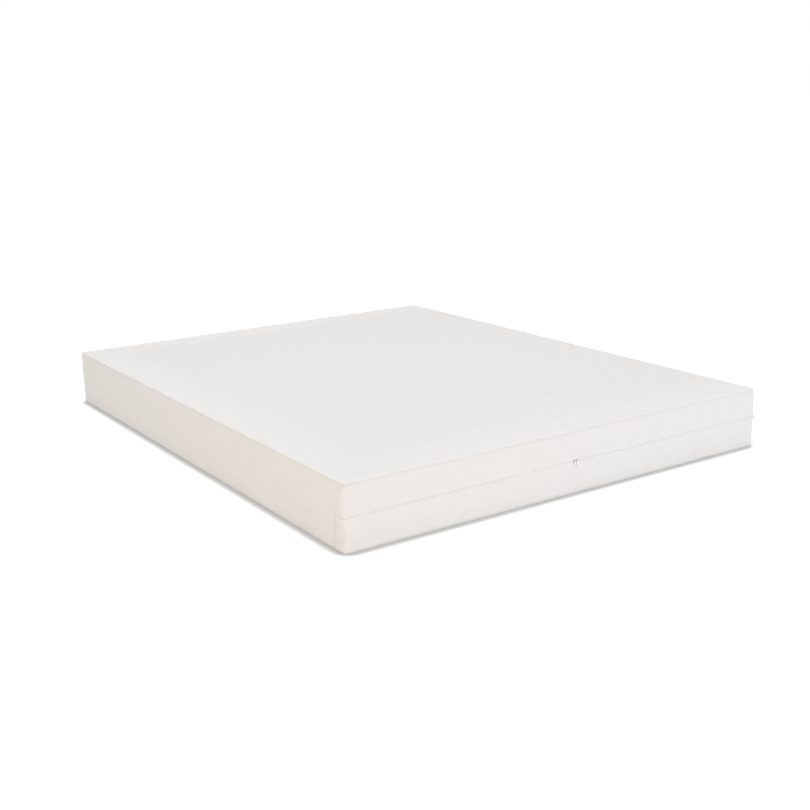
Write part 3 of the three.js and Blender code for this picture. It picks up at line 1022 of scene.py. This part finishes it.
# painted contact shadow: the floor's glow is cut near the mattress's outline and eases back over shade_reach
clear = beyond(half_width - shade_turn, half_length - shade_turn)
clear = maths(tree, "SUBTRACT", clear, shade_turn + shade_start, clamp=True)
painted_contact_shadow = maths(tree, "MULTIPLY", maths(tree, "POWER", clear, 2.0), -1 / shade_reach ** 2)
painted_contact_shadow = maths(tree, "EXPONENT", painted_contact_shadow)
bounce = add_node(tree, "ShaderNodeLightPath").outputs["Is Diffuse Ray"]
drop = maths(tree, "MULTIPLY_ADD", bounce, shade_bounced - shade_seen, shade_seen - near_glow)
glow = maths(tree, "MULTIPLY_ADD", painted_contact_shadow, drop, near_glow)
far_glow = ranged(tree, beyond(half_width, half_length), 0.2, 2.2, 0.0, more_glow)
glow = maths(tree, "ADD", glow, far_glow)
split = add_node(tree, "ShaderNodeSeparateXYZ", {0: spot})
leftward = ranged(tree, split.outputs["X"], -0.5, -1.1, 0.0, 1.0)
warmth = between(tree, maths(tree, "MULTIPLY", leftward, bounce), "#ffffff", "#fff4e0")
feed(shader, Base_Color=between(tree, fibre, "#cbcdcf", "#cfd1d3"), Emission_Color=warmth,
     Emission_Strength=glow)
floor.data.materials.append(paper)
print("floor", floor_reach * 2, "m wide")

# %% [markdown]
# ## The camera
# It stands off the near foot corner at about the height of a person's chest, and looks down a little. It
# is placed by its position and its three turns: round to the right, down, and a slight tilt.

# %% Camera
camera_place = (-2.2706, -3.5028, 1.1982)
camera_yaw = math.radians(33.737)
camera_down = math.radians(15.24)
camera_roll = math.radians(-1.177)
turned = Matrix.Rotation(-camera_yaw, 4, "Z") @ Matrix.Rotation(math.pi / 2 - camera_down, 4, "X")
turned = turned @ Matrix.Rotation(camera_roll, 4, "Z")
camera = put_in_scene("camera", bpy.data.cameras.new("camera"))
camera.data.lens = 52.42
camera.data.sensor_width = 36.0
camera.data.clip_end = 200.0
camera.matrix_world = Matrix.Translation(camera_place) @ turned
bpy.context.scene.camera = camera
print("camera", camera_place)

# %% [markdown]
# ## Light
# A wide soft box hangs over the middle and lights the top evenly. A long low box in front brightens the
# foot face. A small warm lamp, low and off the near corner, rakes along the left side, so small swellings
# of the cloth show and that side looks creamy. The world gives the rest: the camera and the metal
# see it as plain white, and it lights the cloth at about a third of that.

# %% Lamps and world
world_on_cloth = 0.34


def soft_box(name, place, aim, size, watts, colour):
    """A rectangular lamp that faces the aim point."""
    lamp = bpy.data.lights.new(name, "AREA")
    lamp.shape = "RECTANGLE"
    lamp.size, lamp.size_y = size
    lamp.energy = watts
    lamp.color = linear(colour)[:3]
    holder = put_in_scene(name, lamp)
    toward = (np.array(aim) - np.array(place)).tolist()
    holder.rotation_euler = Vector(toward).to_track_quat("-Z", "Y").to_euler()
    holder.location = place


soft_box("overhead_box", (-0.1, -0.1, 4.4), (0.0, 0.0, 0.2), (6.5, 6.5), 228, "#ffffff")
soft_box("front_box", (1.2, -4.8, 0.6), (0.3, -1.0, 0.1), (3.0, 1.2), 31, "#ffffff")
soft_box("warm_lamp", (-2.9, -2.2, 0.45), (-0.8, -0.7, 0.1), (0.9, 0.6), 10, "#ffd29e")
world = bpy.data.worlds.new("studio")
bpy.context.scene.world = world
world.use_nodes = True
tree = world.node_tree
spread = add_node(tree, "ShaderNodeLightPath").outputs["Is Diffuse Ray"]
background = tree.nodes["Background"]
background.inputs["Color"].default_value = (1.0, 1.0, 1.0, 1.0)
feed(background, Strength=ranged(tree, spread, 0.0, 1.0, 1.0, world_on_cloth))
bpy.context.scene.view_settings.view_transform = "Standard"
print("lights ready")
